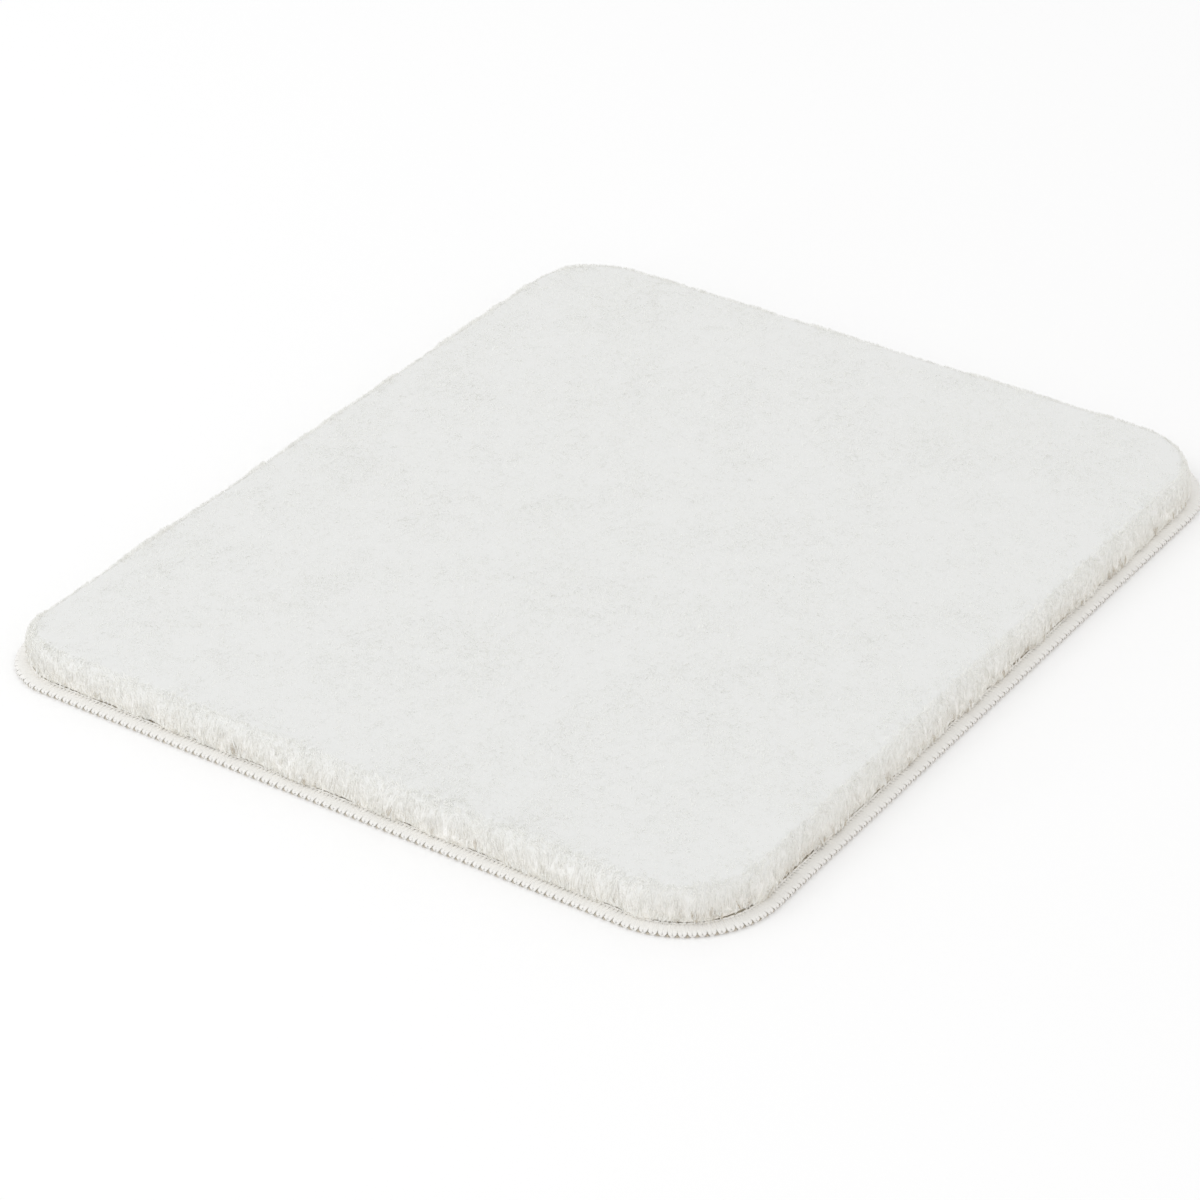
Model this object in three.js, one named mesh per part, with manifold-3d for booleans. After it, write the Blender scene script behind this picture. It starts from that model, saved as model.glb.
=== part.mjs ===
// Tufted cut-pile bath mat with an overlocked edge.
// Millimetres, +Z up. The origin is on the floor under the middle of the mat:
// X runs across the short side, Y along the long side.
//
// From the floor up: an anti-slip coat, the woven cloth that carries the tufts, and the pile.
// Three threads bind the cut edge: one loops under it, one loops over it, and one runs along
// the foot of the pile and holds both.

import * as THREE from 'three';
import { mergeVertices } from 'three/addons/utils/BufferGeometryUtils.js';
import Module from 'manifold-3d';

// Driving dimensions
const MAT_WIDTH = 500;
const MAT_LENGTH = 600;
const MAT_HEIGHT = 25;
const CORNER_RADIUS = 61;
const TIGHT_CORNER_RADIUS = 42; // the corner at -X, -Y is cut tighter than the other three
const GAP = 0.3; // between neighbouring pieces

const BAND_WIDTH = 8.3; // overlocked strip seen beside the pile
const THREAD_THICKNESS = 0.7; // one layer of looped thread
const LOWER_THREAD_TOP = 1.4; // where the lower loops meet the upper ones on the outer edge
const NEEDLE_THREAD_WIDTH = 0.7;

const COAT_THICKNESS = 1.3; // under the pile, down to the floor
const COAT_EDGE_THICKNESS = 0.4; // inside the overlocked strip
const BACKING_THICKNESS = 0.5;

const PILE_WIDEST_INSET = 7; // the pile leans out over the strip as far as this
const PILE_FLARE_HEIGHT = 6.6; // height over which its flank fans out from its foot
const PILE_FLAT_INSET = 14; // its top is flat inside this
const CORNER_STEPS = 10;
const ROUNDING_STEPS = 5;
const FLARE_STEPS = 1; // one step makes a straight flank

// Places that follow from them: an inset is a distance in from the mat's outer edge
const EDGE_INSET = THREAD_THICKNESS + GAP;
const NEEDLE_OUTER_INSET = BAND_WIDTH + GAP;
const NEEDLE_INNER_INSET = NEEDLE_OUTER_INSET + NEEDLE_THREAD_WIDTH;
const PILE_FOOT_INSET = NEEDLE_INNER_INSET + THREAD_THICKNESS + GAP;
const COAT_STEP_INSET = BAND_WIDTH + GAP;

const BACKING_BOTTOM = COAT_THICKNESS + GAP;
const BACKING_TOP = BACKING_BOTTOM + BACKING_THICKNESS;
const BAND_BOTTOM = BACKING_TOP + GAP;
const BAND_TOP = BAND_BOTTOM + THREAD_THICKNESS;

// The mat's outline, moved in by an inset: four straight sides joined by corner arcs
function traceOutline(path, inset) {
  const x = MAT_WIDTH / 2 - inset;
  const y = MAT_LENGTH / 2 - inset;
  const round = CORNER_RADIUS - inset;
  const tight = TIGHT_CORNER_RADIUS - inset;
  path.moveTo(x, 0);
  path.absarc(x - round, y - round, round, 0, Math.PI / 2);
  path.absarc(-x + round, y - round, round, Math.PI / 2, Math.PI);
  path.absarc(-x + tight, -y + tight, tight, Math.PI, Math.PI * 1.5);
  path.absarc(x - round, -y + round, round, Math.PI * 1.5, Math.PI * 2);
  path.closePath();
  return path;
}

// A flat plate of the outline, from one height to another
function plate(inset, bottom, top) {
  const geometry = new THREE.ExtrudeGeometry(traceOutline(new THREE.Shape(), inset), {
    depth: top - bottom,
    bevelEnabled: false,
    curveSegments: CORNER_STEPS,
  });
  return geometry.translate(0, 0, bottom);
}

// A flat ring that follows the outline, between two insets
function ring(outerInset, innerInset, bottom, top) {
  const shape = traceOutline(new THREE.Shape(), outerInset);
  shape.holes.push(traceOutline(new THREE.Path(), innerInset));
  const geometry = new THREE.ExtrudeGeometry(shape, {
    depth: top - bottom,
    bevelEnabled: false,
    curveSegments: CORNER_STEPS,
  });
  return geometry.translate(0, 0, bottom);
}

// Boolean joins and cuts
const wasm = await Module();
wasm.setup();

function toSolid(geometry) {
  const bare = geometry.clone();
  bare.deleteAttribute('normal');
  bare.deleteAttribute('uv');
  const merged = mergeVertices(bare);
  return new wasm.Manifold(new wasm.Mesh({
    numProp: 3,
    vertProperties: new Float32Array(merged.attributes.position.array),
    triVerts: new Uint32Array(merged.index.array),
  }));
}

function toGeometry(solid) {
  const mesh = solid.getMesh();
  const geometry = new THREE.BufferGeometry();
  geometry.setAttribute('position', new THREE.BufferAttribute(mesh.vertProperties, 3));
  geometry.setIndex(new THREE.BufferAttribute(mesh.triVerts, 1));
  geometry.computeVertexNormals();
  return geometry;
}

// Anti-slip coat: it lies on the floor under the pile and thins where the lower thread passes
// below it
function antiSlipCoat() {
  const thin = plate(EDGE_INSET, COAT_THICKNESS - COAT_EDGE_THICKNESS, COAT_THICKNESS);
  const thick = plate(COAT_STEP_INSET, 0, COAT_THICKNESS);
  return toGeometry(toSolid(thin).add(toSolid(thick)));
}

// Woven cloth that the tufts are stitched through
function backingCloth() {
  return plate(EDGE_INSET, BACKING_BOTTOM, BACKING_TOP);
}

// A slab of the outline whose edge bulges out from an inset to the pile's widest part, over a
// height at its top and again at its bottom
function bulgingSlab(inset, height, steps, bottom, top) {
  const geometry = new THREE.ExtrudeGeometry(traceOutline(new THREE.Shape(), inset), {
    depth: top - bottom - 2 * height,
    bevelEnabled: true,
    bevelThickness: height,
    bevelSize: inset - PILE_WIDEST_INSET,
    bevelSegments: steps,
    curveSegments: CORNER_STEPS,
  });
  return geometry.translate(0, 0, bottom + height);
}

// Pile: it stands on the cloth inside the needle thread, fans out over the strip in a straight
// flank, and rounds in to a flat top
function pile() {
  const widestHeight = BAND_BOTTOM + PILE_FLARE_HEIGHT;
  const rounding = MAT_HEIGHT - widestHeight;
  const rounded = bulgingSlab(
    PILE_FLAT_INSET, rounding, ROUNDING_STEPS, BAND_BOTTOM - rounding, MAT_HEIGHT,
  );
  const flared = bulgingSlab(
    PILE_FOOT_INSET, PILE_FLARE_HEIGHT, FLARE_STEPS, BAND_BOTTOM, MAT_HEIGHT + PILE_FLARE_HEIGHT,
  );
  return toGeometry(toSolid(rounded).intersect(toSolid(flared)));
}

// Upper overlock thread: loops over the strip and down the outer edge
function overlockUpperThread() {
  const over = ring(0, BAND_WIDTH, BAND_BOTTOM, BAND_TOP);
  const side = ring(0, THREAD_THICKNESS, LOWER_THREAD_TOP + GAP, BAND_TOP);
  return toGeometry(toSolid(over).add(toSolid(side)));
}

// Lower overlock thread: loops under the strip and up the outer edge, where it links with the
// upper one
function overlockLowerThread() {
  const under = ring(0, BAND_WIDTH, 0, COAT_THICKNESS - COAT_EDGE_THICKNESS - GAP);
  const side = ring(0, THREAD_THICKNESS, 0, LOWER_THREAD_TOP);
  return toGeometry(toSolid(under).add(toSolid(side)));
}

// Needle thread: a row of straight stitches between the strip and the foot of the pile
function needleThread() {
  return ring(NEEDLE_OUTER_INSET, NEEDLE_INNER_INSET, BAND_BOTTOM, BAND_TOP);
}

function piece(name, geometry, color, roughness) {
  const material = new THREE.MeshStandardMaterial({ color, roughness, metalness: 0 });
  const mesh = new THREE.Mesh(geometry, material);
  mesh.name = name;
  return mesh;
}

const mat = new THREE.Group();
mat.add(
  piece('anti_slip_coat', antiSlipCoat(), 0xe4e0d2, 0.75),
  piece('backing_cloth', backingCloth(), 0xe9e6dc, 0.9),
  piece('pile', pile(), 0xf2f1ec, 1),
  piece('overlock_upper_thread', overlockUpperThread(), 0xf0ede2, 0.7),
  piece('overlock_lower_thread', overlockLowerThread(), 0xe6e3d8, 0.7),
  piece('needle_thread', needleThread(), 0xebe7da, 0.7),
);

export default mat;
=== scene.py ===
"""A tufted cut-pile bath mat with an overlocked edge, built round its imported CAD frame."""

import math

import bpy
import numpy as np
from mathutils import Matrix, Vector


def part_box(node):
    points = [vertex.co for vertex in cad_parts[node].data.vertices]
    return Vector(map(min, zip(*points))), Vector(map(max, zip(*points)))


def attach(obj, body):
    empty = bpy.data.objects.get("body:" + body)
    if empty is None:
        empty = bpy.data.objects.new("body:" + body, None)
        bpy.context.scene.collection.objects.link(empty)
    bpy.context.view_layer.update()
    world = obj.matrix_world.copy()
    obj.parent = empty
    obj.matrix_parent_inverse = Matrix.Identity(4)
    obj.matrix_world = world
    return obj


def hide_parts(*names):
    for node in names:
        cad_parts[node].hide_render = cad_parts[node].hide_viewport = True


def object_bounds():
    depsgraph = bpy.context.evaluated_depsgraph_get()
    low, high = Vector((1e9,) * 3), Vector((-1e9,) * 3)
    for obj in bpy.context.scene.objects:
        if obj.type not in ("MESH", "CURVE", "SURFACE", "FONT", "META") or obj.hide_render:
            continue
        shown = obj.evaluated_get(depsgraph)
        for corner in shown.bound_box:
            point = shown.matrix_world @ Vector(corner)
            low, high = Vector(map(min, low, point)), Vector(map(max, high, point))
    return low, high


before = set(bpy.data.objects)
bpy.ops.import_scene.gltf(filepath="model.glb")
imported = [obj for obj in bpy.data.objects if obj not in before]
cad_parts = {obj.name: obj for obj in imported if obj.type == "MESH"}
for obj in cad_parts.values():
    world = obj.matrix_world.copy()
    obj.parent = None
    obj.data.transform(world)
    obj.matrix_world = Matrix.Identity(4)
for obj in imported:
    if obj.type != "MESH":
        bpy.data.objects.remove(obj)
cad_low, cad_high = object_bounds()

# ---------------------------------------------------------------- driving sizes, in metres
# An inset is a distance in from the mat's outer edge, and a height is above the floor.
MM = 0.001
HALF_WIDTH = cad_high.x
HALF_LENGTH = cad_high.y
CORNER_RADIUS = 61 * MM
TIGHT_CORNER_RADIUS = 42 * MM  # the corner at -X, -Y

PILE_TOP = 25.5 * MM
PILE_FOOT = 2.8 * MM
PILE_FOOT_INSET = 10.2 * MM
PILE_BULGE = 9.0 * MM  # height of the widest part
PILE_BULGE_INSET = 6.9 * MM
PILE_FLAT_INSET = 14.0 * MM
GROUND_SIDE_DEPTH = 1.1 * MM  # of the body of the pile, under its tips
GROUND_TOP_DEPTH = 0.8 * MM

BAND_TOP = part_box("overlock_upper_thread")[1].z
BAND_WIDTH = 8.3 * MM
STITCH_PITCH = 5.3 * MM
WEAVE_PITCH = 5 * MM  # two threads of the woven cloth
DOT_PITCH = 8 * MM
DOT_HEIGHT = 0.7 * MM

TRIANGULAR = 0.866  # from one row to the next of a triangular grid, as a share of its pitch

rng = np.random.default_rng(20)


# ---------------------------------------------------------------- camera
CAMERA_AZIMUTH = math.radians(33.91)
CAMERA_ELEVATION = math.radians(32.07)
CAMERA_DISTANCE = 2.373
CAMERA_TARGET = Vector((0.0005, -0.0378, 0))
CAMERA_LENS = 120.2  # focal length in millimetres
SENSOR_WIDTH = 36


def make_camera():
    """A long lens, looking down at the corner between the near short side and the right long side."""
    back = Vector((
        math.sin(CAMERA_AZIMUTH) * math.cos(CAMERA_ELEVATION),
        -math.cos(CAMERA_AZIMUTH) * math.cos(CAMERA_ELEVATION),
        math.sin(CAMERA_ELEVATION),
    ))
    data = bpy.data.cameras.new("camera")
    data.sensor_width = SENSOR_WIDTH
    data.lens = CAMERA_LENS
    data.clip_start = 0.1
    data.clip_end = 50
    camera = bpy.data.objects.new("camera", data)
    camera.location = CAMERA_TARGET + back * CAMERA_DISTANCE
    camera.rotation_euler = (-back).to_track_quat("-Z", "Y").to_euler()
    bpy.context.scene.collection.objects.link(camera)
    bpy.context.scene.camera = camera


make_camera()


# ---------------------------------------------------------------- the mat's outline
# Side k runs from corner k-1 to corner k, anticlockwise from the right-hand (+X) side; its outward
# normal points at 90k degrees.
SIDES = range(4)
CORNER_RADII = np.array([CORNER_RADIUS, CORNER_RADIUS, TIGHT_CORNER_RADIUS, CORNER_RADIUS])
CORNER_SIGNS = np.array([(1, 1), (-1, 1), (-1, -1), (1, -1)])
CORNER_CENTRES = CORNER_SIGNS * (np.array([HALF_WIDTH, HALF_LENGTH]) - CORNER_RADII[:, None])
SIDE_NORMALS = np.array([(math.cos(k * math.pi / 2), math.sin(k * math.pi / 2)) for k in SIDES])
SIDE_DIRECTIONS = np.stack([-SIDE_NORMALS[:, 1], SIDE_NORMALS[:, 0]], 1)
SIDE_STARTS = np.array([
    CORNER_CENTRES[k - 1] + CORNER_RADII[k - 1] * SIDE_NORMALS[k] for k in SIDES
])
SIDE_LENGTHS = np.array([
    (CORNER_CENTRES[k] - CORNER_CENTRES[k - 1]) @ SIDE_DIRECTIONS[k] for k in SIDES
])
ARC_LENGTHS = CORNER_RADII * math.pi / 2
PERIMETER = float((SIDE_LENGTHS + ARC_LENGTHS).sum())


def rim(along, inset):
    """Points at distances along the outer edge, moved in by inset, and the outward normals there."""
    along = np.asarray(along, float) % PERIMETER
    points = np.zeros((len(along), 2))
    normals = np.zeros((len(along), 2))
    start = 0.0
    for k in SIDES:
        on_side = (along >= start) & (along < start + SIDE_LENGTHS[k])
        points[on_side] = SIDE_STARTS[k] + (along[on_side] - start)[:, None] * SIDE_DIRECTIONS[k]
        normals[on_side] = SIDE_NORMALS[k]
        start += SIDE_LENGTHS[k]
        on_arc = (along >= start) & (along <= start + ARC_LENGTHS[k])
        angle = k * math.pi / 2 + (along[on_arc] - start) / CORNER_RADII[k]
        normals[on_arc] = np.stack([np.cos(angle), np.sin(angle)], 1)
        points[on_arc] = CORNER_CENTRES[k] + CORNER_RADII[k] * normals[on_arc]
        start += ARC_LENGTHS[k]
    inset = np.broadcast_to(inset, len(along))
    return points - normals * inset[:, None], normals


def inset_at(x, y):
    """How far in from the outer edge a point of the plan lies."""
    radius = np.where((x < 0) & (y < 0), TIGHT_CORNER_RADIUS, CORNER_RADIUS)
    over_x = np.abs(x) - (HALF_WIDTH - radius)
    over_y = np.abs(y) - (HALF_LENGTH - radius)
    outside = np.hypot(np.maximum(over_x, 0), np.maximum(over_y, 0))
    inside = np.minimum(np.maximum(over_x, over_y), 0)
    return radius - outside - inside


# ---------------------------------------------------------------- seeded unevenness
TABLE_SIZE = 256  # lumps or cells before a pattern repeats
TABLE_SHIFT = 1000  # lumps or cells, so that no place of the mat is on the negative side


def smooth_step(t):
    return t * t * (3 - 2 * t)


def value_noise(x, y, size, seed):
    """Smooth noise between -1 and 1, with lumps about size across."""
    table = np.random.default_rng(seed).uniform(-1, 1, (TABLE_SIZE, TABLE_SIZE))
    u = x / size + TABLE_SHIFT
    v = y / size + TABLE_SHIFT
    i = np.floor(u).astype(int)
    j = np.floor(v).astype(int)
    s = smooth_step(u - i)
    t = smooth_step(v - j)
    i = i % TABLE_SIZE
    j = j % TABLE_SIZE
    next_i = (i + 1) % TABLE_SIZE
    next_j = (j + 1) % TABLE_SIZE
    low = table[i, j] * (1 - s) + table[next_i, j] * s
    high = table[i, next_j] * (1 - s) + table[next_i, next_j] * s
    return low * (1 - t) + high * t


CELL_JITTER = 0.38  # of a cell
CELL_BORDER = 0.8  # of a cell: a place counts as well inside when the next middle is this much further


def clusters(a, b, size, seed):
    """Uneven cells over a surface. For each place: its cell's random direction, and a number that is
    0 at the cell's border and 1 well inside it.
    """
    cell_rng = np.random.default_rng(seed)
    jitter = cell_rng.uniform(-CELL_JITTER, CELL_JITTER, (2, TABLE_SIZE, TABLE_SIZE))
    direction = cell_rng.uniform(0, 2 * math.pi, (TABLE_SIZE, TABLE_SIZE))
    u = a / size + TABLE_SHIFT
    v = b / size + TABLE_SHIFT
    nearest = np.full(len(u), np.inf)
    second = np.full(len(u), np.inf)
    lean = np.zeros((len(u), 2))
    for step_i in (-1, 0, 1):
        for step_j in (-1, 0, 1):
            i = np.round(u).astype(int) + step_i
            j = np.round(v).astype(int) + step_j
            cell = (i % TABLE_SIZE, j % TABLE_SIZE)
            stagger = 0.5 * (j % 2) - 0.25
            distance = np.hypot(i + jitter[0][cell] + stagger - u, j + jitter[1][cell] - v)
            closer = distance < nearest
            second = np.where(closer, nearest, np.minimum(second, distance))
            nearest = np.where(closer, distance, nearest)
            angle = direction[cell]
            lean[closer] = np.stack([np.cos(angle), np.sin(angle)], 1)[closer]
    return lean, np.clip((second - nearest) / CELL_BORDER, 0, 1)


# ---------------------------------------------------------------- meshes from arrays
def mesh_object(name, points, faces, material, smooth=True):
    """A mesh from an array of points and a list of face arrays, each of one side count."""
    mesh = bpy.data.meshes.new(name)
    mesh.vertices.add(len(points))
    mesh.vertices.foreach_set("co", np.ascontiguousarray(points, np.float32).ravel())
    counts = np.concatenate([np.full(len(f), f.shape[1]) for f in faces])
    corners = np.concatenate([f.ravel() for f in faces]).astype(np.int32)
    starts = np.concatenate([[0], np.cumsum(counts)[:-1]]).astype(np.int32)
    mesh.loops.add(len(corners))
    mesh.loops.foreach_set("vertex_index", corners)
    mesh.polygons.add(len(counts))
    mesh.polygons.foreach_set("loop_start", starts)
    mesh.polygons.foreach_set("use_smooth", np.full(len(counts), smooth))
    mesh.update(calc_edges=True)
    mesh.materials.append(material)
    piece = bpy.data.objects.new(name, mesh)
    bpy.context.scene.collection.objects.link(piece)
    return piece


def set_attribute(piece, name, values):
    """Stores one number for each point, for the piece's material to read."""
    attribute = piece.data.attributes.new(name, "FLOAT", "POINT")
    attribute.data.foreach_set("value", values.astype(np.float32))


def unit(vectors):
    return vectors / np.maximum(np.linalg.norm(vectors, axis=1, keepdims=True), 1e-12)


def across(directions):
    """Two unit vectors square to each direction."""
    helper = np.where(np.abs(directions[:, 2:]) < 0.9, [[0, 0, 1]], [[1, 0, 0]])
    first = unit(np.cross(directions, helper))
    return first, np.cross(directions, first)


FIBRE_SIDES = 3
TIP_TAPER = 0.4  # how much thinner a fibre is at its tip than at its root


def fibre_faces(levels):
    """The triangles of one closed fibre, whose points go round it level by level."""
    faces = [(2, 1, 0)]
    for level in range(levels - 1):
        low = level * FIBRE_SIDES
        for side in range(FIBRE_SIDES):
            a = low + side
            b = low + (side + 1) % FIBRE_SIDES
            faces.append((a, b, b + FIBRE_SIDES))
            faces.append((a, b + FIBRE_SIDES, a + FIBRE_SIDES))
    top = (levels - 1) * FIBRE_SIDES
    faces.append((top, top + 1, top + 2))
    return np.array(faces)


def fibres(name, rings, thickness, tone, material):
    """Closed tapering fibres. rings holds all their centres at each level, from root to tip."""
    count = len(rings[0])
    levels = len(rings)
    turn = rng.uniform(0, 2 * math.pi, count)
    points = []
    for level, centre in enumerate(rings):
        start = min(level, levels - 2)
        first, second = across(unit(rings[start + 1] - rings[start]))
        radius = thickness / 2 * (1 - TIP_TAPER * level / (levels - 1))
        for side in range(FIBRE_SIDES):
            angle = turn + side * 2 * math.pi / FIBRE_SIDES
            outwards = np.cos(angle)[:, None] * first + np.sin(angle)[:, None] * second
            points.append(centre + radius[:, None] * outwards)
    points = np.stack(points, 1).reshape(-1, 3)
    per_fibre = levels * FIBRE_SIDES
    faces = fibre_faces(levels)[None] + (np.arange(count) * per_fibre)[:, None, None]
    # flat faces: rounded shading on such thin fibres would swallow light
    piece = mesh_object(name, points, [faces.reshape(-1, 3)], material, smooth=False)
    up = np.repeat(np.linspace(0, 1, levels), FIBRE_SIDES)
    set_attribute(piece, "up_fibre", np.tile(up, count))
    set_attribute(piece, "tone", np.repeat(tone, per_fibre))
    return piece


# ---------------------------------------------------------------- materials
WHITE = (1, 1, 1)
TONE_DARK = (0.60, 0.535, 0.44)  # what a tone of 0 multiplies a yarn's colour by; low tones are random in the tufts, and painted shade in the beige locks and where stitches meet
# The next two colours are painted shade, deep in the pile and at the fibres' roots.
ROOT_SHADE_BEIGE = (0.95, 0.93, 0.895)
LOW_SHADE_CREAM = (0.955, 0.945, 0.925)
TIP_WHITE = (0.92, 0.922, 0.907)
GROUND_WHITE = (0.80, 0.803, 0.79)
SHEEN_ROUGHNESS = 0.6
SPECULAR = 0.2
WAVE_PERIOD = 0.314  # of a wave texture at scale 1


class Nodes:
    """A small helper for building a material's node tree."""

    def __init__(self, name, base_color, roughness, sheen=0.0):
        self.material = bpy.data.materials.new(name)
        self.material.use_nodes = True
        self.tree = self.material.node_tree
        self.shader = self.tree.nodes["Principled BSDF"]
        self.shader.inputs["Base Color"].default_value = (*base_color, 1)
        self.shader.inputs["Roughness"].default_value = roughness
        self.shader.inputs["Sheen Weight"].default_value = sheen
        self.shader.inputs["Sheen Roughness"].default_value = SHEEN_ROUGHNESS
        self.shader.inputs["Specular IOR Level"].default_value = SPECULAR
        self.place = self.add("ShaderNodeTexCoord").outputs["Object"]

    def add(self, kind, **settings):
        node = self.tree.nodes.new(kind)
        for key, value in settings.items():
            setattr(node, key, value)
        return node

    def link(self, source, target):
        self.tree.links.new(source, target)

    def attribute(self, name):
        return self.add("ShaderNodeAttribute", attribute_name=name).outputs["Fac"]

    def noise(self, size, detail=3.0):
        node = self.add("ShaderNodeTexNoise")
        node.inputs["Scale"].default_value = 1 / size
        node.inputs["Detail"].default_value = detail
        self.link(self.place, node.inputs["Vector"])
        return node.outputs["Fac"]

    def bands(self, pitch, direction):
        node = self.add("ShaderNodeTexWave", wave_type="BANDS", bands_direction=direction)
        node.inputs["Scale"].default_value = WAVE_PERIOD / pitch
        self.link(self.place, node.inputs["Vector"])
        return node.outputs["Fac"]

    def ramp(self, source, *stops):
        node = self.add("ShaderNodeValToRGB")
        elements = node.color_ramp.elements
        while len(elements) < len(stops):
            elements.new(0.5)
        for element, (place, colour) in zip(elements, stops):
            element.position = place
            element.color = (*colour, 1)
        self.link(source, node.inputs["Fac"])
        return node.outputs["Color"]

    def height(self, low, high):
        """0 at height low, 1 at height high."""
        split = self.add("ShaderNodeSeparateXYZ")
        self.link(self.place, split.inputs[0])
        scale = self.add("ShaderNodeMapRange")
        scale.inputs["From Min"].default_value = low
        scale.inputs["From Max"].default_value = high
        self.link(split.outputs["Z"], scale.inputs["Value"])
        return scale.outputs["Result"]

    def tone(self):
        """White where a piece's tone is 1, and the darkest beige where it is 0."""
        return self.ramp(self.attribute("tone"), (0.0, TONE_DARK), (1.0, WHITE))

    def mix(self, factor, first, second, blend="MIX"):
        node = self.add("ShaderNodeMix", data_type="RGBA", blend_type=blend)
        factor_in, first_in, second_in = [s for s in node.inputs if s.enabled]
        if isinstance(factor, bpy.types.NodeSocket):
            self.link(factor, factor_in)
        else:
            factor_in.default_value = factor
        self.link(first, first_in)
        self.link(second, second_in)
        return next(s for s in node.outputs if s.enabled)

    def times(self, colour, *factors):
        for factor in factors:
            colour = self.mix(1.0, colour, factor, "MULTIPLY")
        return colour

    def finish(self, colour):
        self.link(colour, self.shader.inputs["Base Color"])
        return self.material

    def bump(self, height, strength, distance):
        node = self.add("ShaderNodeBump")
        node.inputs["Strength"].default_value = strength
        node.inputs["Distance"].default_value = distance
        self.link(height, node.inputs["Height"])
        self.link(node.outputs["Normal"], self.shader.inputs["Normal"])


def yarn_material(name, low, middle):
    """Pile yarn with painted shade: creamier at a fibre's root, and tinted low at the pile's foot and
    middle halfway up.
    """
    nodes = Nodes(name, TIP_WHITE, 0.9, sheen=0.2)
    # painted shade: cream deep in the pile, at each fibre's root
    along = nodes.ramp(nodes.attribute("up_fibre"), (0.0, LOW_SHADE_CREAM), (0.7, TIP_WHITE))
    # painted shade: tinted by low at the pile's foot and by middle halfway up, white at the top
    foot = nodes.ramp(nodes.height(PILE_FOOT, PILE_TOP), (0.0, low), (0.5, middle), (0.9, WHITE))
    patches = nodes.ramp(nodes.noise(14 * MM), (0.35, (0.98, 0.98, 0.975)), (0.65, WHITE))
    return nodes.finish(nodes.times(along, patches, nodes.tone(), foot))


def ground_material():
    """The body of the pile, with painted shade: beige and cream low down, where the light has to come in
    through the yarn.
    """
    nodes = Nodes("ground_yarn", GROUND_WHITE, 0.95)
    # painted shade: beige at the foot, lightening to white at the top
    depth = nodes.ramp(
        nodes.height(PILE_FOOT, PILE_TOP - 1 * MM),
        (0.0, ROOT_SHADE_BEIGE),
        (0.25, LOW_SHADE_CREAM),
        (0.6, (0.86, 0.855, 0.835)),
        (1.0, GROUND_WHITE),
    )
    return nodes.finish(depth)


def thread_material():
    """Sewing yarn with fine strands, darker where its tone is low: painted shade where one stitch meets the
    next.
    """
    light = (0.89, 0.88, 0.855)
    dark = (0.855, 0.84, 0.81)
    nodes = Nodes("binding_thread", light, 0.65, sheen=0.15)
    strands = nodes.noise(0.6 * MM, detail=2)
    colour = nodes.ramp(strands, (0.35, dark), (0.65, light))
    nodes.bump(strands, 0.25, 0.2 * MM)
    return nodes.finish(nodes.times(colour, nodes.tone()))


def weave_material():
    """Warp and weft of a plain cloth, in a creamy natural yarn."""
    nodes = Nodes("backing_weave", (0.80, 0.77, 0.69), 0.9, sheen=0.1)
    warp = nodes.bands(WEAVE_PITCH, "X")
    weft = nodes.bands(WEAVE_PITCH, "Y")
    threads = nodes.mix(nodes.noise(0.8 * MM), warp, weft)
    nodes.bump(threads, 0.5, 0.2 * MM)
    return nodes.finish(nodes.ramp(threads, (0.0, (0.66, 0.62, 0.53)), (1.0, (0.84, 0.81, 0.74))))


def latex_material():
    """A matt cream coat with a fine grain, faint cloudy patches and paler dots."""
    nodes = Nodes("latex", (0.76, 0.74, 0.67), 0.55)
    grain = nodes.noise(1.2 * MM)
    patches = nodes.ramp(nodes.noise(30 * MM), (0.3, (0.94, 0.93, 0.90)), (0.7, WHITE))
    specks = nodes.ramp(grain, (0.3, (0.94, 0.93, 0.9)), (0.6, WHITE))
    dots = nodes.ramp(
        nodes.height(0, DOT_HEIGHT), (0.2, (0.88, 0.865, 0.80)), (0.8, (0.70, 0.68, 0.60)),
    )
    nodes.bump(grain, 0.4, 0.2 * MM)
    return nodes.finish(nodes.times(patches, specks, dots))


top_yarn = yarn_material("top_yarn", WHITE, WHITE)
# edge_yarn carries painted shade: warm at the pile's foot and greyer halfway up the edge
edge_yarn = yarn_material("edge_yarn", (1, 0.995, 0.985), (0.975, 0.97, 0.965))
ground_yarn = ground_material()
binding_thread = thread_material()
weave = weave_material()
latex = latex_material()


# ---------------------------------------------------------------- the pile's section and its lumps
FLANK_LENGTH = math.hypot(PILE_FOOT_INSET - PILE_BULGE_INSET, PILE_BULGE - PILE_FOOT)
FLANK_ROUNDNESS = 0.6  # 0 is straight from foot to bulge, 1 is a quarter of an ellipse
ROUNDING_WIDTH = PILE_FLAT_INSET - PILE_BULGE_INSET
ROUNDING_HEIGHT = PILE_TOP - PILE_BULGE
ROUNDING_LENGTH = math.pi / 2 * math.sqrt((ROUNDING_WIDTH ** 2 + ROUNDING_HEIGHT ** 2) / 2)
EDGE_LENGTH = FLANK_LENGTH + ROUNDING_LENGTH
SLOPE_STEP = 0.2 * MM  # over which the surface's slope is read
BAND_CLEARANCE = 0.2 * MM  # of the fibres, over the stitched band

LUMP_SIZE = 15 * MM
LUMP_HEIGHT = 1.5 * MM
LUMP_LINE_INSET = 8 * MM  # the edge has the lumps of this line all the way up
TOP_LUMPS = 0.5  # share of them that is left where the rounding meets the top
TOP_LUMPS_REACH = 15 * MM  # over which they fade out on the top


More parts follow.
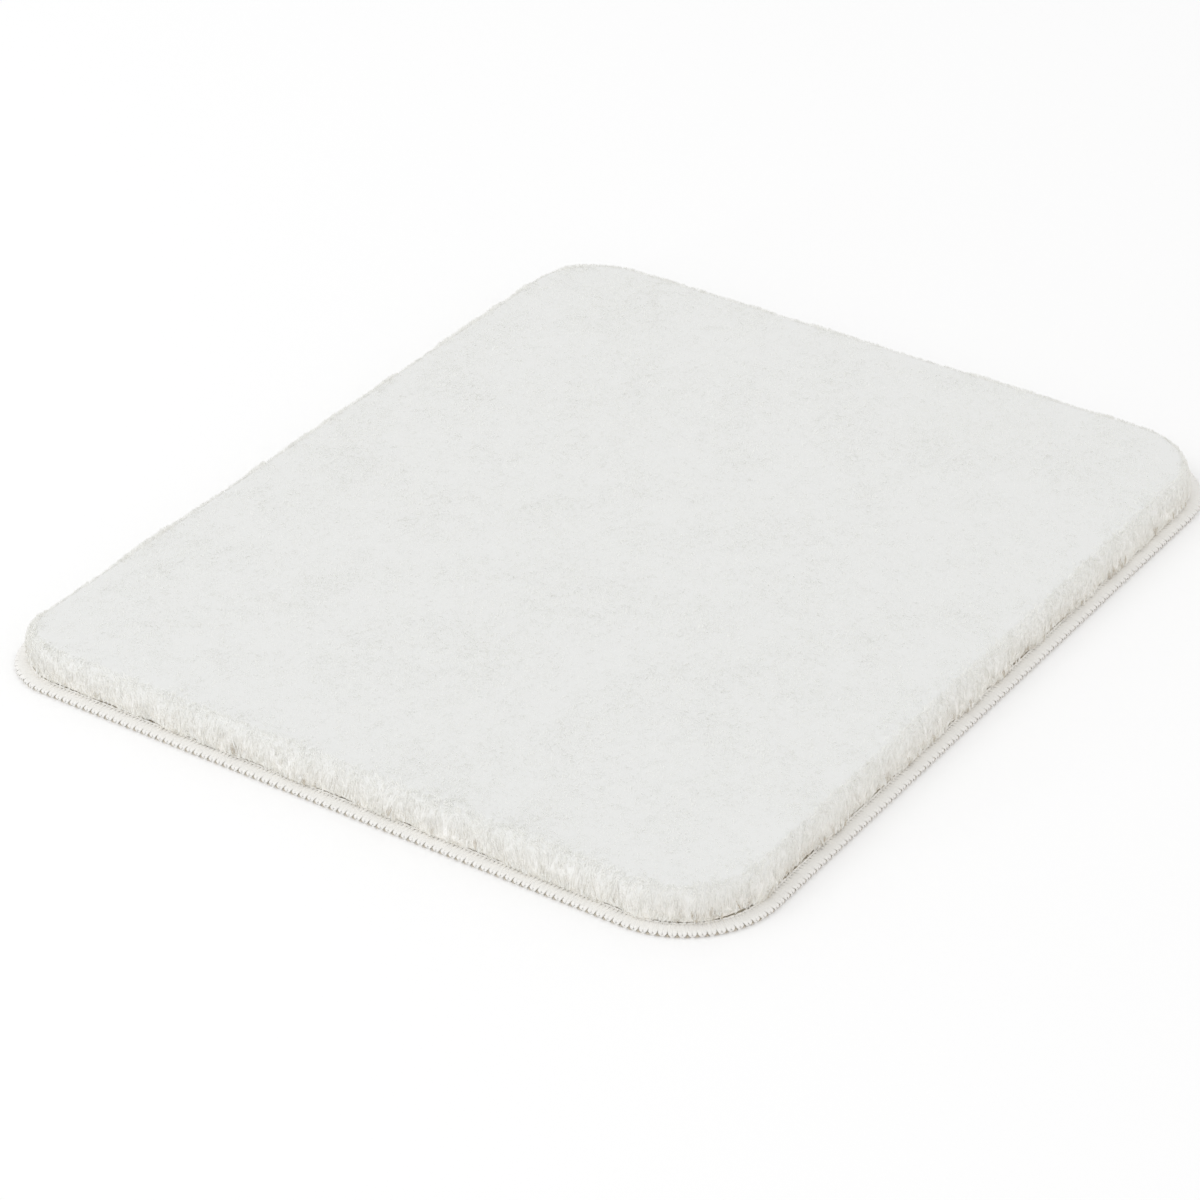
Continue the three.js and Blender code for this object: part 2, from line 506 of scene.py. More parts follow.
def profile(u):
    """The pile's outer surface in section: inset and height at distance u from the foot, going up."""
    t = np.clip(u / FLANK_LENGTH, 0, 1)
    outwards = t + FLANK_ROUNDNESS * (np.sin(t * math.pi / 2) - t)
    upwards = t + FLANK_ROUNDNESS * (1 - np.cos(t * math.pi / 2) - t)
    inset = PILE_FOOT_INSET + (PILE_BULGE_INSET - PILE_FOOT_INSET) * outwards
    height = PILE_FOOT + (PILE_BULGE - PILE_FOOT) * upwards
    a = np.clip((u - FLANK_LENGTH) / ROUNDING_LENGTH, 0, 1) * math.pi / 2
    inset = inset + ROUNDING_WIDTH * (1 - np.cos(a))
    height = height + ROUNDING_HEIGHT * np.sin(a)
    return inset + np.maximum(u - EDGE_LENGTH, 0), height


def section(u, out):
    """Inset and height of a place u along the pile's outer surface and a distance out of it."""
    u = np.maximum(u, 0)
    inset, height = profile(u)
    next_inset, next_height = profile(u + SLOPE_STEP)
    run = next_inset - inset
    rise = next_height - height
    length = np.hypot(run, rise)
    return inset - out * rise / length, height + out * run / length


def on_edge(along, u, out):
    """Points of the pile's edge: along the mat, up the section, and out from it, clear of the band."""
    inset, height = section(u, out)
    xy, _ = rim(along, inset)
    return np.concatenate([xy, np.maximum(height, BAND_TOP + BAND_CLEARANCE)[:, None]], 1)


def lumps(x, y):
    """How far the edge of the pile swells out or sinks in at a place in plan."""
    return value_noise(x, y, LUMP_SIZE, seed=11) * LUMP_HEIGHT


def edge_lumps(along):
    xy, _ = rim(along, LUMP_LINE_INSET)
    return lumps(xy[:, 0], xy[:, 1])


# ---------------------------------------------------------------- grids over the plan
class RoundedGrid:
    """Quads over the plan, on lines at given insets and then at even steps, bent round its corners."""

    def __init__(self, edge_insets, step):
        insets_x = self.lines(edge_insets, step, HALF_WIDTH)
        insets_y = self.lines(edge_insets, step, HALF_LENGTH)
        columns = 2 * len(insets_x) - 1
        rows = 2 * len(insets_y) - 1
        self.count = columns * rows
        column, row = np.meshgrid(np.arange(columns), np.arange(rows), indexing="ij")
        ring_x = np.minimum(column, columns - 1 - column)
        ring_y = np.minimum(row, rows - 1 - row)
        self.ring = np.minimum(ring_x, ring_y)
        self.sign_x = np.sign(column - (columns - 1) / 2)
        self.sign_y = np.sign(row - (rows - 1) / 2)
        inset_x = insets_x[ring_x]
        inset_y = insets_y[ring_y]
        self.inset = np.minimum(inset_x, inset_y)
        self.past = np.maximum(inset_x, inset_y) - self.inset
        self.nearer_x = inset_x <= inset_y
        index = np.arange(self.count).reshape(columns, rows)
        corners = [index[:-1, :-1], index[1:, :-1], index[1:, 1:], index[:-1, 1:]]
        self.quads = np.stack(corners, -1).reshape(-1, 4)
        self.loop = np.concatenate([index[:, 0], index[-1, 1:], index[-2::-1, -1], index[0, -2:0:-1]])

    @staticmethod
    def lines(edge_insets, step, half):
        inner = half - edge_insets[-1]
        steps = int(round(inner / step))
        return np.concatenate([edge_insets, edge_insets[-1] + np.arange(1, steps + 1) * inner / steps])

    def plan(self, inset):
        """Where the grid's points lie when each is at a given inset."""
        tight = (self.sign_x < 0) & (self.sign_y < 0)
        radius = np.where(tight, TIGHT_CORNER_RADIUS, CORNER_RADIUS) - inset
        bend = (radius > 0) & (self.past < radius)
        turn = math.pi / 4 * (1 - self.past / np.where(radius > 0, radius, 1))
        angle = np.where(bend, turn, 0)
        near = inset + np.where(bend, radius * (1 - np.cos(angle)), 0)
        far = inset + np.where(bend, radius * (1 - np.sin(angle)), self.past)
        x = self.sign_x * (HALF_WIDTH - np.where(self.nearer_x, near, far))
        y = self.sign_y * (HALF_LENGTH - np.where(self.nearer_x, far, near))
        return x, y


# ---------------------------------------------------------------- the body of the pile
ROUNDING_RINGS = 12
FLANK_RINGS = 6
GROUND_STEP = 1.5 * MM
GROUND_FLAT_INSET = PILE_FLAT_INSET + 2 * MM
BUMPS_FROM = 0.3  # of the way up the rounding: its bumps grow from here
FINE_BUMP_SIZE = 2.2 * MM
FINE_BUMP_HEIGHT = 0.3 * MM
BROAD_BUMP_SIZE = 7 * MM
BROAD_BUMP_HEIGHT = 0.2 * MM


def ground():
    """The body of the pile under its tips: a closed form with low lumps."""
    start = PILE_BULGE_INSET + GROUND_SIDE_DEPTH
    inner = GROUND_FLAT_INSET - start
    a = np.linspace(0, math.pi / 2, ROUNDING_RINGS + 1)
    edge_height = PILE_BULGE + (ROUNDING_HEIGHT - GROUND_TOP_DEPTH) * np.sin(a)
    grid = RoundedGrid(start + inner * (1 - np.cos(a)), GROUND_STEP)
    height = edge_height[np.minimum(grid.ring, ROUNDING_RINGS)]
    x, y = grid.plan(grid.inset)
    fade = np.clip(1 - (grid.inset - start) / inner, 0, 1)
    x, y = grid.plan(grid.inset - lumps(x, y) * fade)
    bumps = value_noise(x, y, FINE_BUMP_SIZE, seed=1) * FINE_BUMP_HEIGHT
    bumps = bumps + value_noise(x, y, BROAD_BUMP_SIZE, seed=2) * BROAD_BUMP_HEIGHT
    height = height + bumps * np.clip((height - PILE_BULGE) / ROUNDING_HEIGHT - BUMPS_FROM, 0, 1)
    top = np.stack([x, y, height], -1).reshape(-1, 3)

    points = [top]
    faces = [grid.quads]
    edge = top[grid.loop]
    tangent = unit(np.roll(edge, -1, 0)[:, :2] - np.roll(edge, 1, 0)[:, :2])
    inwards = np.stack([-tangent[:, 1], tangent[:, 0]], 1)
    last = grid.loop
    offset = grid.count
    for up in np.linspace(FLANK_LENGTH, 0, FLANK_RINGS + 1)[1:]:
        inset_here, height_here = profile(up)
        depth_lost = GROUND_SIDE_DEPTH * (1 - up / FLANK_LENGTH)  # it comes out to the tips at its foot
        ring_points = edge.copy()
        ring_points[:, :2] += inwards * (inset_here - PILE_BULGE_INSET - depth_lost)
        ring_points[:, 2] = height_here
        new = offset + np.arange(len(edge))
        points.append(ring_points)
        faces.append(np.stack([last, new, np.roll(new, -1), np.roll(last, -1)], -1))
        last = new
        offset += len(edge)
    faces.append(last[::-1][None])
    return mesh_object("pile_ground", np.concatenate(points), faces, ground_yarn)


# ---------------------------------------------------------------- the tufts of the top
TUFT_PITCH = 3.5 * MM
TUFT_SPREAD = 2.2 * MM
TUFT_JITTER = 0.14  # of the pitch
TUFT_RISE = 0.1 * MM  # one tuft above or below its neighbours
TUFT_DOME = 0.6 * MM  # how far a tip at one pitch from the middle of its tuft falls short
TOP_PIECES = 6
TOP_FIBRES = 10  # in a tuft
TOP_FIBRE_LENGTH = 3.5 * MM
TOP_THICKNESS = (0.42 * MM, 0.60 * MM)
TOP_SPLAY = 0.6  # how far a fibre's root is from the middle of its tuft, as a share of its tip's
TIP_SCATTER = 0.2 * MM
TOP_TONE_SCATTER = 0.02
BLEND_WIDTH = 6 * MM  # over which the tufts of the edge give way to those of the top
CLUSTER_SIZE = 8.5 * MM  # patches of tufts that lean together
CLUSTER_LEAN = 0.6 * MM
CLUSTER_DOME = 0.4 * MM
SWELL_SIZE = 30 * MM
SWELL_HEIGHT = 0.25 * MM


def tuft_grid(pitch, low_inset):
    """Tuft places over the plan, in a jittered triangular grid, no nearer the edge than low_inset."""
    columns = np.arange(-HALF_WIDTH, HALF_WIDTH, pitch)
    rows = np.arange(-HALF_LENGTH, HALF_LENGTH, pitch * TRIANGULAR)
    x, y = np.meshgrid(columns, rows, indexing="ij")
    x = x + (np.arange(len(rows)) % 2) * pitch / 2
    x = x.ravel() + rng.normal(0, pitch * TUFT_JITTER, x.size)
    y = y.ravel() + rng.normal(0, pitch * TUFT_JITTER, y.size)
    keep = inset_at(x, y) > low_inset
    return x[keep], y[keep]


def top_pile():
    """Short lengths of the fibres that show over the top, splaying out of each tuft."""
    x, y = tuft_grid(TUFT_PITCH, PILE_FLAT_INSET)
    inwards = inset_at(x, y) - PILE_FLAT_INSET
    keep = inwards > rng.uniform(0, BLEND_WIDTH, len(x))
    x = x[keep]
    y = y[keep]
    lean, middle = clusters(x, y, CLUSTER_SIZE, seed=5)
    lift = (middle - 0.5) * CLUSTER_DOME + rng.normal(0, TUFT_RISE, len(x))
    lift += value_noise(x, y, SWELL_SIZE, seed=8) * SWELL_HEIGHT
    lift += lumps(x, y) * TOP_LUMPS * np.clip(1 - inwards[keep] / TOP_LUMPS_REACH, 0, 1)

    count = len(x) * TOP_FIBRES
    spread = np.sqrt(rng.uniform(0, 1, count)) * TUFT_SPREAD
    angle = rng.uniform(0, 2 * math.pi, count)
    tufts = np.repeat(np.stack([x, y, PILE_TOP + lift], 1), TOP_FIBRES, 0)
    leans = np.repeat(lean * CLUSTER_LEAN, TOP_FIBRES, 0)
    out = np.stack([np.cos(angle), np.sin(angle)], 1) * spread[:, None]
    tips = tufts.copy()
    tips[:, :2] += out + leans
    tips[:, 2] -= (spread / TUFT_PITCH) ** 2 * TUFT_DOME + np.abs(rng.normal(0, TIP_SCATTER, count))
    roots = tufts.copy()
    roots[:, :2] += out * TOP_SPLAY - leans
    roots[:, 2] -= TOP_FIBRE_LENGTH
    thickness = rng.uniform(*TOP_THICKNESS, count)
    tone = np.repeat(1 - np.abs(rng.normal(0, TOP_TONE_SCATTER, len(x))), TOP_FIBRES)

    borders = np.linspace(-HALF_LENGTH, HALF_LENGTH, TOP_PIECES + 1)[1:-1]
    strip = np.digitize(tips[:, 1], borders)
    pieces = []
    for k in range(TOP_PIECES):
        here = strip == k
        rings = [roots[here], tips[here]]
        pieces.append(fibres(f"pile_top_{k + 1}", rings, thickness[here], tone[here], top_yarn))
    return pieces


# ---------------------------------------------------------------- the tufts of the edge
# A share is how far up the rounding a tuft is: 0 at the widest part and below, 1 at the top.
EDGE_PIECES = 4
EDGE_PITCH = 2.8 * MM
EDGE_JITTER_UP = 0.25  # of the pitch
EDGE_JITTER_ALONG = 0.2
EDGE_LOWEST = 0.6  # of the way up the flank
EDGE_TUFT_FIBRES = 8
EDGE_THICKNESS = (0.26 * MM, 0.40 * MM)
EDGE_SPREAD = TUFT_SPREAD * 0.85
EDGE_TUFT_RISE = 0.15 * MM
EDGE_TUFT_DOME = 0.3 * MM
EDGE_TIP_SCATTER = 0.14 * MM
EDGE_TIP_LIFT = 0.1 * MM
EDGE_TIP_DRAW = 0.8  # how far a tip is from the middle of its tuft along the mat, as a share of its root's
EDGE_TONE_SCATTER = 0.05
EDGE_TONE_FADE = 0.6  # how much less it scatters at the top
EDGE_CLUSTER_SIZE = CLUSTER_SIZE * 0.8
EDGE_CLUSTER_SQUEEZE = 0.6  # makes the patches longer up the edge than along it
EDGE_LEAN = 0.9 * MM
ROOT_LEAN = 0.5  # of the tip's, the other way
RIPPLE_SIZE = 3.6 * MM
RIPPLE_HEIGHT = 0.35 * MM
CLIMB_SHARES = [0, 0.3, 0.75, 1]
CLIMB = [5.0 * MM, 4.5 * MM, 1.5 * MM, 0]  # how far up the section a fibre lies, from root to tip
DEPTH_SHARES = [0, 0.3, 1]
DEPTH = [1.6 * MM, 1.6 * MM, TOP_FIBRE_LENGTH]  # of its root
BEND_DEPTH = 0.25  # of its root's depth, halfway along it


def edge_tufts():
    """Tuft places over the edge, in a jittered triangular grid: along the mat and up the section."""
    rows = np.arange(EDGE_LOWEST * FLANK_LENGTH, EDGE_LENGTH + BLEND_WIDTH, EDGE_PITCH * TRIANGULAR)
    count = int(PERIMETER / EDGE_PITCH)
    along, up = np.meshgrid(np.arange(count) * PERIMETER / count, rows, indexing="ij")
    along = (along + (np.arange(len(rows)) % 2) * EDGE_PITCH / 2).ravel()
    up = up.ravel() + rng.normal(0, EDGE_PITCH * EDGE_JITTER_UP, len(along))
    along += rng.normal(0, EDGE_PITCH * EDGE_JITTER_ALONG, len(along))
    keep = up - EDGE_LENGTH < rng.uniform(0, BLEND_WIDTH, len(up))
    return along[keep], up[keep]


def edge_pile():
    """Tufts over the flank and the rounding. Low down they lie up it; higher up they stand."""
    along, up = edge_tufts()
    share = np.clip((up - FLANK_LENGTH) / ROUNDING_LENGTH, 0, 1)
    lean, middle = clusters(along, up * EDGE_CLUSTER_SQUEEZE, EDGE_CLUSTER_SIZE, seed=6)
    lift = (middle - 0.5) * CLUSTER_DOME + rng.normal(0, EDGE_TUFT_RISE, len(along))
    lift += edge_lumps(along) * (1 - (1 - TOP_LUMPS) * share)
    lift += value_noise(along, up, RIPPLE_SIZE, seed=9) * RIPPLE_HEIGHT
    shade = np.abs(rng.normal(0, EDGE_TONE_SCATTER, len(along)))
    tone = 1 - shade * (1 - EDGE_TONE_FADE * share)
    climb = np.interp(share, CLIMB_SHARES, CLIMB)
    depth = np.interp(share, DEPTH_SHARES, DEPTH)

    along, up, lift, climb, depth, tone = (
        np.repeat(values, EDGE_TUFT_FIBRES) for values in (along, up, lift, climb, depth, tone)
    )
    lean = np.repeat(lean * EDGE_LEAN, EDGE_TUFT_FIBRES, 0)
    count = len(along)
    spread = np.sqrt(rng.uniform(0, 1, count)) * EDGE_SPREAD
    angle = rng.uniform(0, 2 * math.pi, count)
    step_along = np.cos(angle) * spread
    out = lift - (spread / TUFT_PITCH) ** 2 * EDGE_TUFT_DOME + rng.normal(0, EDGE_TIP_SCATTER, count)
    tip_along = along + step_along * EDGE_TIP_DRAW + lean[:, 0]
    tip_up = up + np.sin(angle) * spread
    root_along = along + step_along - lean[:, 0] * ROOT_LEAN
    roots = on_edge(root_along, tip_up - climb, out - depth)
    bend_along = root_along * 0.5 + tip_along * 0.5
    bends = on_edge(bend_along, tip_up - climb * 0.5, out - depth * BEND_DEPTH)
    tips = on_edge(tip_along, tip_up, out + EDGE_TIP_LIFT)
    thickness = rng.uniform(*EDGE_THICKNESS, count)

    pieces = []
    for k in range(EDGE_PIECES):
        start = PERIMETER * k / EDGE_PIECES
        end = PERIMETER * (k + 1) / EDGE_PIECES
        here = (along >= start) & (along <= end)
        rings = [roots[here], bends[here], tips[here]]
        pieces.append(fibres(f"pile_edge_{k + 1}", rings, thickness[here], tone[here], edge_yarn))
    return pieces


# ---------------------------------------------------------------- the locks over the seam
SKIRT_LOCKS = 1500
SKIRT_FIBRES = 7  # in a lock
LOCK_REACH = 0.8  # of the flank: a lock's tip is between its foot and here
LOCK_SWAY = 1.0 * MM
LOCK_DROOP = (-0.2 * MM, 1.2 * MM)  # how far out of the flank a lock's tip hangs
LOCK_SPREAD = 0.7 * MM
ROOT_OPENING = 1.4  # times the spread: a lock is wide at its roots and draws together at its tip
BEND_OPENING = 1.2
TIP_OPENING = 0.4
LOCK_ROOT_RISE = (2.5 * MM, 5.0 * MM)  # how far above its tip a fibre starts
LOCK_ROOT_DEPTH = 1.2 * MM
LOCK_BEND_LIFT = 0.1 * MM
LOCK_TIP_SCATTER = 0.2 * MM
ROOT_SHADE_LOCKS = 0.08  # share of the locks painted beige, as the shade at their roots
ROOT_SHADE_LOCKS_RIGHT = 0.35  # on the long right-hand side, which faces away from the key light: more painted shade there
BEIGE_SHADE = (0.2, 0.9)


def skirt():
    """The lowest fibres, which droop over the seam in small pointed locks."""
    centre = rng.uniform(0, PERIMETER, SKIRT_LOCKS)
    reach = rng.uniform(0.0, LOCK_REACH, SKIRT_LOCKS) * FLANK_LENGTH
    sway = rng.normal(0, LOCK_SWAY, SKIRT_LOCKS)
    droop = rng.uniform(*LOCK_DROOP, SKIRT_LOCKS)
    lift = edge_lumps(centre)
    _, outwards = rim(centre, 0)
    # painted shade: some locks are darkened towards beige, more of them on the right-hand side
    on_right = outwards[:, 0] > 0.5
    beige_share = np.where(on_right, ROOT_SHADE_LOCKS_RIGHT, ROOT_SHADE_LOCKS)
    beige = rng.uniform(0, 1, SKIRT_LOCKS) < beige_share
    tone = 1 - np.where(beige, rng.uniform(*BEIGE_SHADE, SKIRT_LOCKS), 0)

    centre, reach, sway, droop, tone, lift = (
        np.repeat(values, SKIRT_FIBRES) for values in (centre, reach, sway, droop, tone, lift)
    )
    count = len(centre)
    spread = rng.normal(0, LOCK_SPREAD, count)
    root_up = reach + rng.uniform(*LOCK_ROOT_RISE, count)
    bend_up = root_up * 0.5 + reach * 0.5
    out = lift + droop + rng.normal(0, LOCK_TIP_SCATTER, count)
    roots = on_edge(centre + spread * ROOT_OPENING, root_up, lift - LOCK_ROOT_DEPTH)
    bends = on_edge(centre + spread * BEND_OPENING + sway * 0.5, bend_up, lift + LOCK_BEND_LIFT)
    tips = on_edge(centre + spread * TIP_OPENING + sway, reach, out)
    thickness = rng.uniform(*EDGE_THICKNESS, count)
    return fibres("pile_skirt", [roots, bends, tips], thickness, tone, edge_yarn)


# ---------------------------------------------------------------- the threads
# A yarn swings from the needle line, 0, to the mat's outer edge, 1, and back, once a turn.
STITCHES = int(round(PERIMETER / STITCH_PITCH))
TURNS = 2  # turns of the yarn in one stitch
TURN_POINTS = 20
CROSSING = (0.15, 0.65)  # the part of a swing in which the yarn crosses the band: where it starts, how long
WRAPPING = (0.72, 0.28)  # the part in which it goes round the outer edge
WRAP_LEAN = 1.5  # how far the yarn's section turns to face outwards there
BUNCHING = 0.6 * MM  # how far the turns of a stitch draw together at the outer edge
BUNCHING_POWER = 6  # a high power keeps it to the end of the swing
CROWN_POWER = 0.7  # under 1 makes a stitch's crown broad and the dip between two stitches narrow
TICK_SHADE = 0.9  # painted shade: how dark the yarns are where one stitch meets the next, at the outer edge
TICK_WIDTH = 0.12  # of a stitch

UPPER_WIDTH = 1.9 * MM
UPPER_THICKNESS = 0.62 * MM
UPPER_START = BAND_WIDTH + 0.3 * MM
UPPER_TICK_INSET = 1.6 * MM  # at the outer edge, where one stitch meets the next
UPPER_CROWN_INSET = 0.25 * MM  # at the outer edge, in the middle of a stitch
UPPER_BASE = BAND_TOP - 0.35 * MM
UPPER_ARCH = 0.25 * MM  # of the yarn over the band
UPPER_ARCH_END = 0.9  # of the swing
UPPER_DIP = 0.12 * MM  # where one stitch meets the next
UPPER_WRAP_DROP = 1.1 * MM

LOWER_WIDTH = 1.5 * MM
LOWER_THICKNESS = 0.7 * MM
LOWER_START = BAND_WIDTH - 0.2 * MM
LOWER_EDGE_INSET = 0.9 * MM
LOWER_BASE = 0.4 * MM
LOWER_WRAP_RISE = 0.9 * MM

NEEDLE_INSET = 9.2 * MM
NEEDLE_WIDTH = 1.3 * MM
NEEDLE_NARROWING = 0.15  # where the thread goes down between two stitches
NEEDLE_BASE = BAND_TOP - 0.2 * MM
NEEDLE_DIP = 0.3 * MM
NEEDLE_DIP_POWER = 6  # a high power makes the dip short
NEEDLE_POINTS = 10  # in a stitch


def closed_sweep(name, path, width, thickness, upward, tone, sides=8):
    """A closed loop of yarn: an oval section, width by thickness, along a closed path."""
    ahead = unit(np.roll(path, -1, 0) - np.roll(path, 1, 0))
    side = unit(np.cross(ahead, upward))
    up = np.cross(side, ahead)
    rings = []
    for k in range(sides):
        a = 2 * math.pi * k / sides
        sideways = math.cos(a) * width / 2
        upwards = math.sin(a) * thickness / 2
        rings.append(path + side * sideways[:, None] + up * upwards[:, None])
    points = np.stack(rings, 1).reshape(-1, 3)
    index = np.arange(len(points)).reshape(-1, sides)
    ahead_index = np.roll(index, -1, 0)
    quads = np.stack([index, ahead_index, np.roll(ahead_index, -1, 1), np.roll(index, -1, 1)], -1)
    piece = mesh_object(name, points, [quads.reshape(-1, 4)], binding_thread)
    set_attribute(piece, "tone", np.repeat(tone, sides))
    return piece


def swing_path(shift):
    """For each point of a yarn: how far along the mat's edge, its swing, and the share of its stitch."""
    turns = np.arange(STITCHES * TURNS * TURN_POINTS) / TURN_POINTS
    swing = 1 - np.abs((turns + shift) % 1 * 2 - 1)
    in_stitch = (turns / TURNS) % 1
    return turns * PERIMETER / STITCHES / TURNS, swing, in_stitch


def part_done(swing, part):
    """From 0 to 1 over a part of the swing, given as where it starts and how long it is."""
    start, length = part
    return np.clip((swing - start) / length, 0, 1)


def bunched(along, swing, in_stitch, amount):
    return along + amount * np.sin(2 * math.pi * in_stitch) * swing ** BUNCHING_POWER


def tick_closeness(in_stitch):
    """1 where one stitch meets the next, falling off quickly to 0 along it."""
    from_tick = np.minimum(in_stitch, 1 - in_stitch)
    return np.exp(-(from_tick / TICK_WIDTH) ** 2)


def overlock_yarn(name, along, inset, height, lean, width, thickness, tone):
    """One overlock thread, whose section leans outwards by lean at each point."""
    xy, normals = rim(along, inset)
    path = np.concatenate([xy, height[:, None]], 1)
    upward = unit(np.concatenate([normals * lean[:, None], np.ones((len(along), 1))], 1))
    widths = np.full(len(along), width)
    thicknesses = np.full(len(along), thickness)
    return closed_sweep(name, path, widths, thicknesses, upward, tone)


def upper_thread():
    """One yarn that goes out over the band, round its outer edge and back, again and again."""
    along, swing, in_stitch = swing_path(0)
    wrap = part_done(swing, WRAPPING)
    crown = np.abs(np.sin(math.pi * in_stitch)) ** CROWN_POWER
    along = bunched(along, swing, in_stitch, BUNCHING)
    inset = UPPER_START * (1 - part_done(swing, CROSSING))
    inset += (UPPER_TICK_INSET - (UPPER_TICK_INSET - UPPER_CROWN_INSET) * crown) * swing
    height = UPPER_BASE - (1 - crown) * UPPER_DIP - wrap ** 2 * UPPER_WRAP_DROP
    height += UPPER_ARCH * np.sin(math.pi * np.clip(swing / UPPER_ARCH_END, 0, 1))
    # painted shade in the notch where one stitch meets the next, at the outer edge
    tone = 1 - TICK_SHADE * tick_closeness(in_stitch) * wrap
    return overlock_yarn(
        "overlock_upper_yarn", along, inset, height, wrap * WRAP_LEAN,
        UPPER_WIDTH, UPPER_THICKNESS, tone,
    )


def lower_thread():
    """One yarn that goes out under the band and up to meet the upper one, half a turn later."""
    along, swing, in_stitch = swing_path(0.5)
    wrap = part_done(swing, WRAPPING)
    along = bunched(along, swing, in_stitch, -BUNCHING)
    inset = LOWER_START * (1 - part_done(swing, CROSSING)) + LOWER_EDGE_INSET
    height = LOWER_BASE + wrap ** 2 * LOWER_WRAP_RISE
    # painted shade where one stitch meets the next, all along its swing
    tone = 1 - TICK_SHADE * tick_closeness(in_stitch)
    return overlock_yarn(
        "overlock_lower_yarn", along, inset, height, -wrap * WRAP_LEAN,
        LOWER_WIDTH, LOWER_THICKNESS, tone,
    )


def needle_line():
    """The straight stitches along the foot of the pile, dipping where the thread goes down."""
    stitches = np.arange(STITCHES * NEEDLE_POINTS) / NEEDLE_POINTS
    dip = np.abs(np.cos(math.pi * stitches)) ** NEEDLE_DIP_POWER
    xy, _ = rim(stitches * PERIMETER / STITCHES, NEEDLE_INSET)
    path = np.concatenate([xy, (NEEDLE_BASE - dip * NEEDLE_DIP)[:, None]], 1)
    width = NEEDLE_WIDTH * (1 - NEEDLE_NARROWING * dip)
    upward = np.tile([0.0, 0, 1], (len(path), 1))
    return closed_sweep("needle_stitches", path, width, width, upward, np.ones(len(path)), sides=6)


# ---------------------------------------------------------------- the cloth and its coat
LAYER_INSET = 1 * MM  # both stop just inside the threads that wrap the edge
WEAVE_WAVE = 0.1 * MM  # how far the cloth's threads rise and fall
COAT_STEP_INSET = 8.6 * MM  # the coat is thin outside this, over the lower thread
COAT_STEP_WIDTH = 0.2 * MM
COAT_RIM_INSET = 5 * MM  # one grid line within the thin rim
COAT_EDGE_BOTTOM = 0.9 * MM
DOT_STEPS = 6  # grid steps in the dots' pitch
DOT_RADIUS = 0.45  # of the dots' pitch
DOT_STEEPNESS = 1.5  # over 1 gives a dot a flat face


def layer(name, edge_insets, step, plain_height, relief, material):
    """A closed plate: one face flat at plain_height, the other at a height that varies over the plan."""
    grid = RoundedGrid(edge_insets, step)
    x, y = grid.plan(grid.inset)
    shaped = np.stack([x, y, relief(x, y)], -1).reshape(-1, 3)
    edge = shaped[grid.loop].copy()
    edge[:, 2] = plain_height
    other = grid.count + np.arange(len(edge))
    sides = np.stack([grid.loop, other, np.roll(other, -1), np.roll(grid.loop, -1)], -1)
    faces = [grid.quads, sides, other[::-1][None]]
    if plain_height > shaped[:, 2].min():
        faces = [f[:, ::-1] for f in faces]
    return mesh_object(name, np.concatenate([shaped, edge]), faces, material)


def woven_backing():
    """Plain weave: warp and weft take turns on top, cell by cell."""
    low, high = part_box("backing_cloth")

    def relief(x, y):
        over = np.cos(math.pi * x / WEAVE_PITCH) * np.cos(math.pi * y / WEAVE_PITCH)
        return high.z - WEAVE_WAVE + WEAVE_WAVE * over

    return layer("woven_backing", np.array([LAYER_INSET]), WEAVE_PITCH / 2, low.z, relief, weave)


def latex_coat():
    """Anti-slip coat: rows of low round dots on its underside, and a thin rim over the lower thread."""
    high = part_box("anti_slip_coat")[1].z

    def relief(x, y):
        row = np.round(y / DOT_PITCH / TRIANGULAR)
        dx = (x / DOT_PITCH + row % 2 / 2 + 0.5) % 1 - 0.5
        dy = y / DOT_PITCH - row * TRIANGULAR
        dots = np.clip(1 - np.hypot(dx, dy) / DOT_RADIUS, 0, 1)
        under = DOT_HEIGHT * (1 - np.minimum(dots * DOT_STEEPNESS, 1))
        return np.where(inset_at(x, y) < COAT_STEP_INSET, COAT_EDGE_BOTTOM, under)

    before_step = COAT_STEP_INSET - COAT_STEP_WIDTH / 2
    after_step = COAT_STEP_INSET + COAT_STEP_WIDTH / 2
    edge_insets = np.array([LAYER_INSET, COAT_RIM_INSET, before_step, after_step])
    return layer("latex_coat", edge_insets, DOT_PITCH / DOT_STEPS, high, relief, latex)


# ---------------------------------------------------------------- the pieces and what they stand for
body = ground()
fibre_pieces = [*top_pile(), *edge_pile(), skirt()]
upper = upper_thread()
lower = lower_thread()
needle = needle_line()
cloth = woven_backing()
coat = latex_coat()

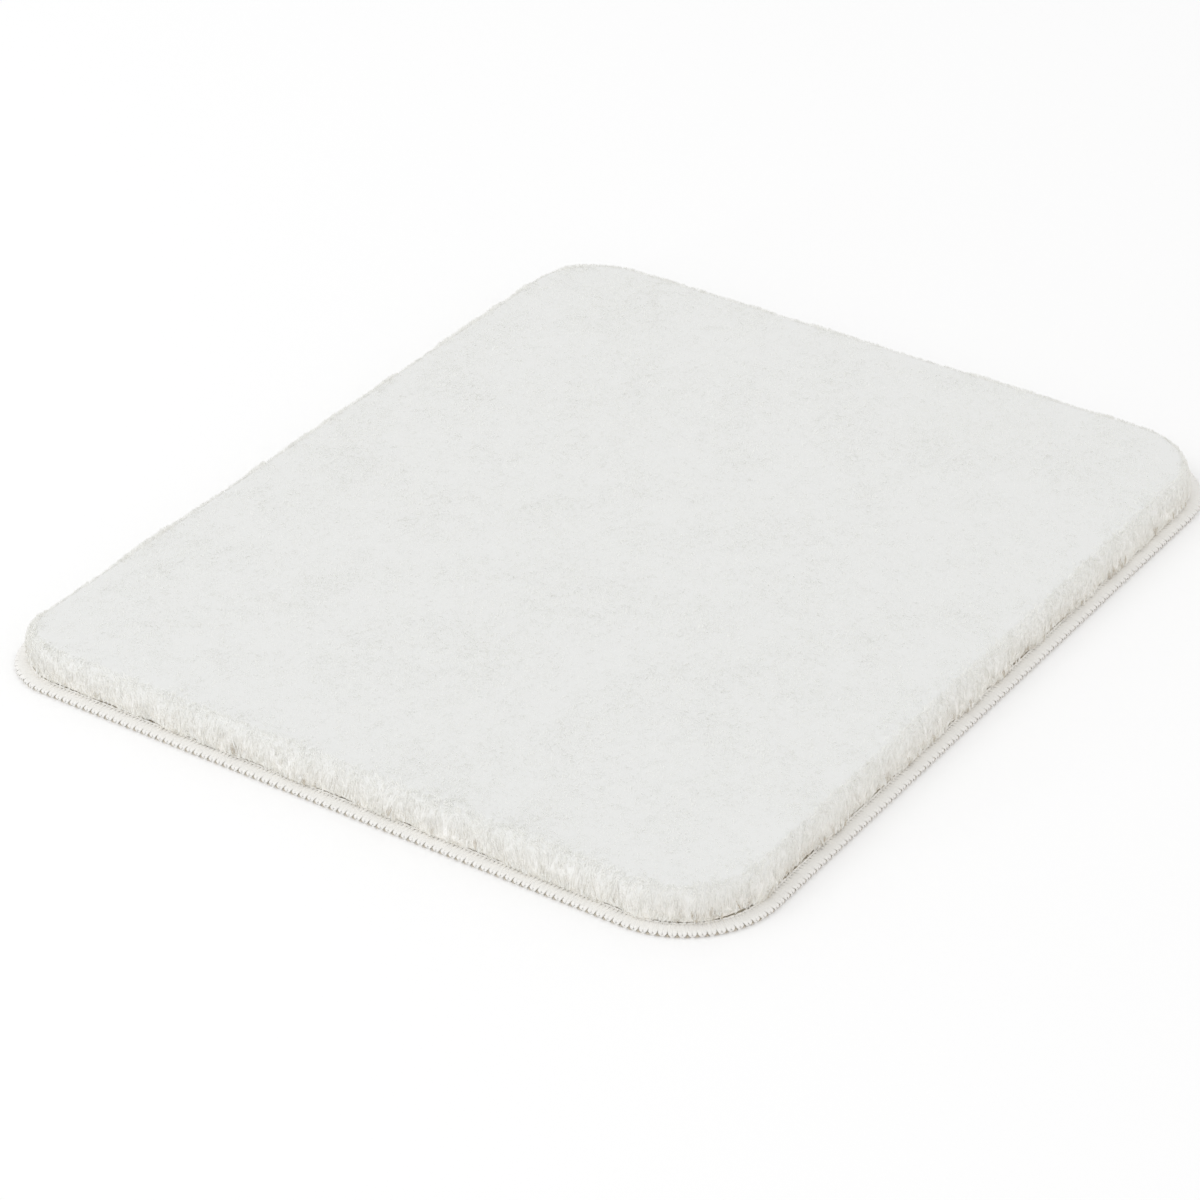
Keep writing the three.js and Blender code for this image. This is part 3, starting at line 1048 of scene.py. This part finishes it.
for piece in [body, *fibre_pieces]:
    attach(piece, "root")
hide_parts("pile")
for piece, node, slot in (
    (upper, "overlock_upper_thread", "binding_thread"),
    (lower, "overlock_lower_thread", "binding_thread"),
    (needle, "needle_thread", "binding_thread"),
    (cloth, "backing_cloth", "backing_weave"),
    (coat, "anti_slip_coat", "latex"),
):
    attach(piece, "root")
    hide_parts(node)


# ---------------------------------------------------------------- studio
FLOOR_HALF = 8
FLOOR_WHITE = (0.975, 0.975, 0.975)
WORLD_STRENGTH = 0.93


def lay_floor():
    mesh = bpy.data.meshes.new("floor")
    corners = [(FLOOR_HALF * sign_x, FLOOR_HALF * sign_y, 0) for sign_x, sign_y in
               ((-1, -1), (1, -1), (1, 1), (-1, 1))]
    mesh.from_pydata(corners, [], [(0, 1, 2, 3)])
    mesh.materials.append(Nodes("studio_floor", FLOOR_WHITE, 0.9).material)
    floor = bpy.data.objects.new("floor", mesh)
    bpy.context.scene.collection.objects.link(floor)


def softbox(name, place, size, power, colour=WHITE):
    """A square lamp, size across, that faces the mat."""
    data = bpy.data.lights.new(name, "AREA")
    data.shape = "SQUARE"
    data.size = size
    data.energy = power
    data.color = colour
    light = bpy.data.objects.new(name, data)
    light.location = place
    light.rotation_euler = (-Vector(place)).to_track_quat("-Z", "Y").to_euler()
    bpy.context.scene.collection.objects.link(light)


def light_studio():
    """An even white surround, a soft key from above, and two low lamps that reach into the seam."""
    world = bpy.data.worlds.new("studio")
    world.use_nodes = True
    background = world.node_tree.nodes["Background"]
    background.inputs["Color"].default_value = (*WHITE, 1)
    background.inputs["Strength"].default_value = WORLD_STRENGTH
    bpy.context.scene.world = world
    softbox("key", place=(-1.8, -1.4, 2.6), size=1.8, power=14)
    softbox("low_left", place=(-1.2, -3.6, 0.28), size=0.5, power=13, colour=(0.93, 0.965, 1.0))
    softbox("low_right", place=(3.6, -0.8, 0.28), size=0.5, power=8, colour=(1.0, 0.88, 0.80))
    bpy.context.scene.view_settings.view_transform = "Standard"
    # white on white: the light in the pile and under its edge has bounced many times
    bpy.context.scene.cycles.max_bounces = 24
    bpy.context.scene.cycles.diffuse_bounces = 16


lay_floor()
light_studio()
